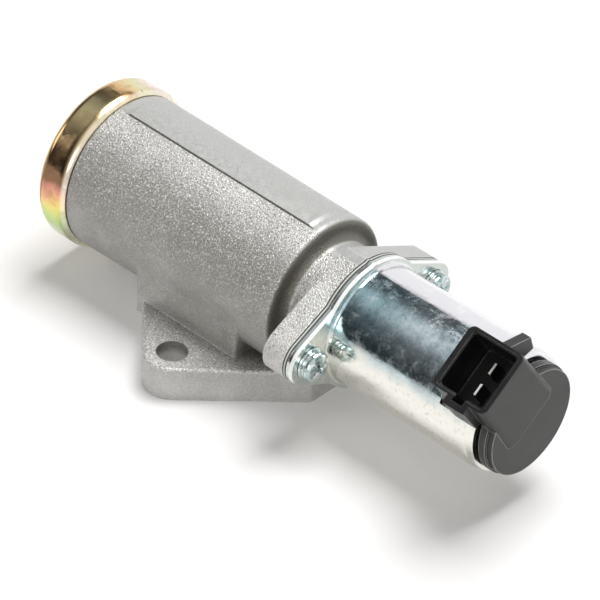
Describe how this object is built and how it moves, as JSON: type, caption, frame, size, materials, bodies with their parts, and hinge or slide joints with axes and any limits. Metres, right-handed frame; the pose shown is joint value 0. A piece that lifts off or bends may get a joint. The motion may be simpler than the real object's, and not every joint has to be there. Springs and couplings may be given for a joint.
{
  "type": "idle air control valve",
  "caption": "Solenoid idle air control valve: cast barrel with pressed end cap on a square flange, steel solenoid can and tilted plastic connector.",
  "frame": {"origin": "midway between the two mounting bolt holes, on the mounting face", "axes": "+Z out of the mounting face towards the barrel, +X along the barrel from the end cap towards the connector"},
  "size_m": [0.1187, 0.059, 0.0396],
  "materials": {
    "cast_alloy": "shot-blasted casting",
    "passivated_steel": "yellow passivated, iridescent",
    "zinc_steel": "bright zinc plate",
    "machined_steel": "turned",
    "spring_steel": "drawn wire",
    "brass": "turned",
    "copper": "enamelled wire",
    "tinned_blade": "tin plate",
    "dark_plastic": "moulded, fine grain",
    "natural_plastic": "moulded",
    "seal_rubber": "moulded",
    "gasket": "coated sheet"
  },
  "bodies": {
    "valve": {"valve_body": "cast_alloy", "end_cap": "passivated_steel", "cap_seal": "seal_rubber", "valve_seat": "brass", "return_spring": "spring_steel", "front_pole": "machined_steel", "stem_bush": "brass", "flange_gasket": "gasket", "solenoid_can": "zinc_steel", "flange_screw_near": "zinc_steel", "flange_screw_far": "zinc_steel", "coil_bobbin": "natural_plastic", "bobbin_seal": "seal_rubber", "coil_winding": "copper", "armature_sleeve": "brass", "back_core": "machined_steel", "flux_washer": "machined_steel", "balance_spring": "spring_steel", "adjusting_screw": "machined_steel", "connector_housing": "dark_plastic", "terminal_blade_1": "tinned_blade", "terminal_blade_2": "tinned_blade"},
    "plunger": {"armature": "machined_steel", "valve_stem": "machined_steel", "valve_poppet": "brass", "poppet_clip": "spring_steel"}
  },
  "joints": [
    {"name": "plunger_slide", "type": "slide", "parent": "valve", "child": "plunger", "axis": [1, 0, 0], "range_m": [0, 0.003], "stiffness_N_per_m": 900, "springref_m": -0.004, "deforming": ["return_spring", "balance_spring"]}
  ]
}
